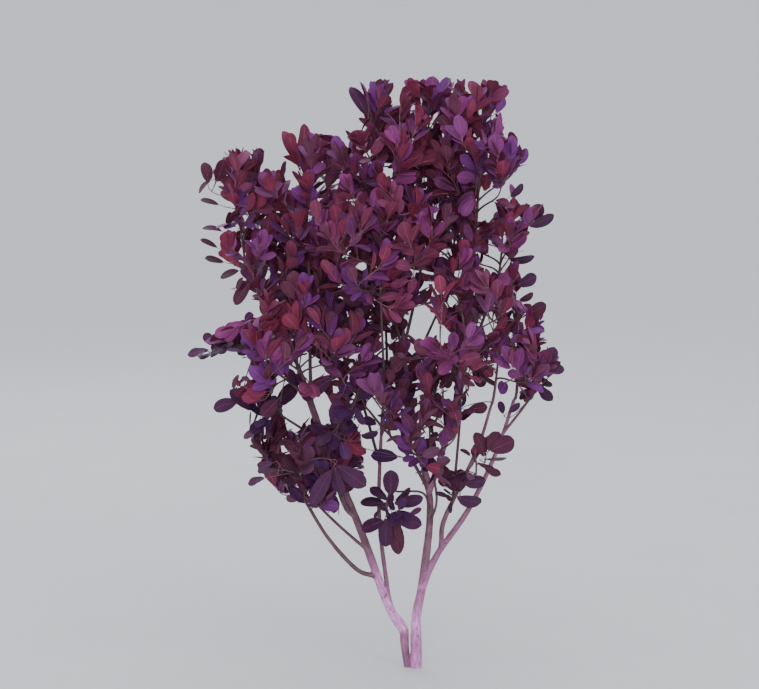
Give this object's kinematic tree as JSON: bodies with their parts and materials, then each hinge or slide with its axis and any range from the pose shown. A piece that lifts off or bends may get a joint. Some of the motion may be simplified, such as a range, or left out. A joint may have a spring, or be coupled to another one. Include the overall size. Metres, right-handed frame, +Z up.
{
  "type": "smoke bush",
  "caption": "Young purple-leaved smoke bush: pinkish stems that part just above the ground and an upright, loose crown of dark burgundy oval leaves.",
  "frame": {"origin": "centre of the flat cut under the foot, at ground level", "axes": "+Z up; seen from the front of the picture, +X points right and +Y points to the back"},
  "size_m": [0.9062, 0.6724, 1.4475],
  "materials": {
    "bark": "smooth pinkish grey-brown young bark with small darker pores",
    "young_bark": "thin dark purple-brown bark of last year's shoots",
    "foliage_red": "satin wine-red young leaves",
    "foliage_purple": "satin dark purple leaves with a faint bluish bloom",
    "foliage_dark": "satin blackish purple leaves in the shade of the crown"
  },
  "bodies": {
    "root": {"back_heart": "foliage_dark", "back_left_bough": "young_bark", "back_right_bough": "young_bark", "back_stem": "bark", "centre_back_bough": "young_bark", "centre_heart": "foliage_purple", "centre_left": "foliage_dark", "centre_left_bough": "young_bark", "centre_right_bough": "bark", "far_left": "foliage_purple", "far_left_bough": "young_bark", "far_left_shoulder": "foliage_red", "far_right": "foliage_red", "foot": "bark", "front_bough": "young_bark", "front_right": "foliage_red", "front_right_bough": "young_bark", "inner_right_bough": "bark", "left_back": "foliage_purple", "left_front": "foliage_purple", "left_heart": "foliage_purple", "left_low": "foliage_dark", "left_low_bough": "young_bark", "left_outer_bough": "young_bark", "left_stem": "bark", "left_twin_bough": "bark", "left_upper": "foliage_purple", "left_upper_bough": "young_bark", "left_upright_bough": "young_bark", "low_front": "foliage_purple", "low_front_left": "foliage_purple", "low_front_spur": "young_bark", "low_hanging": "foliage_dark", "low_hanging_twig": "young_bark", "low_left": "foliage_dark", "low_left_back": "foliage_dark", "low_left_bough": "bark", "low_left_spur": "young_bark", "right_back": "foliage_purple", "right_back_low": "foliage_dark", "right_bough": "bark", "right_inner": "foliage_purple", "right_low": "foliage_dark", "right_low_spur": "young_bark", "right_outer": "foliage_purple", "right_outer_bough": "young_bark", "right_stem": "bark", "right_upper_bough": "young_bark", "thin_upright": "young_bark", "top_centre": "foliage_red", "top_centre_bough": "young_bark", "top_left_bough": "young_bark", "top_left_plume": "foliage_red", "top_right": "foliage_red", "upper_front": "foliage_red", "upper_left_plume": "foliage_red", "upper_right": "foliage_red"}
  },
  "joints": []
}
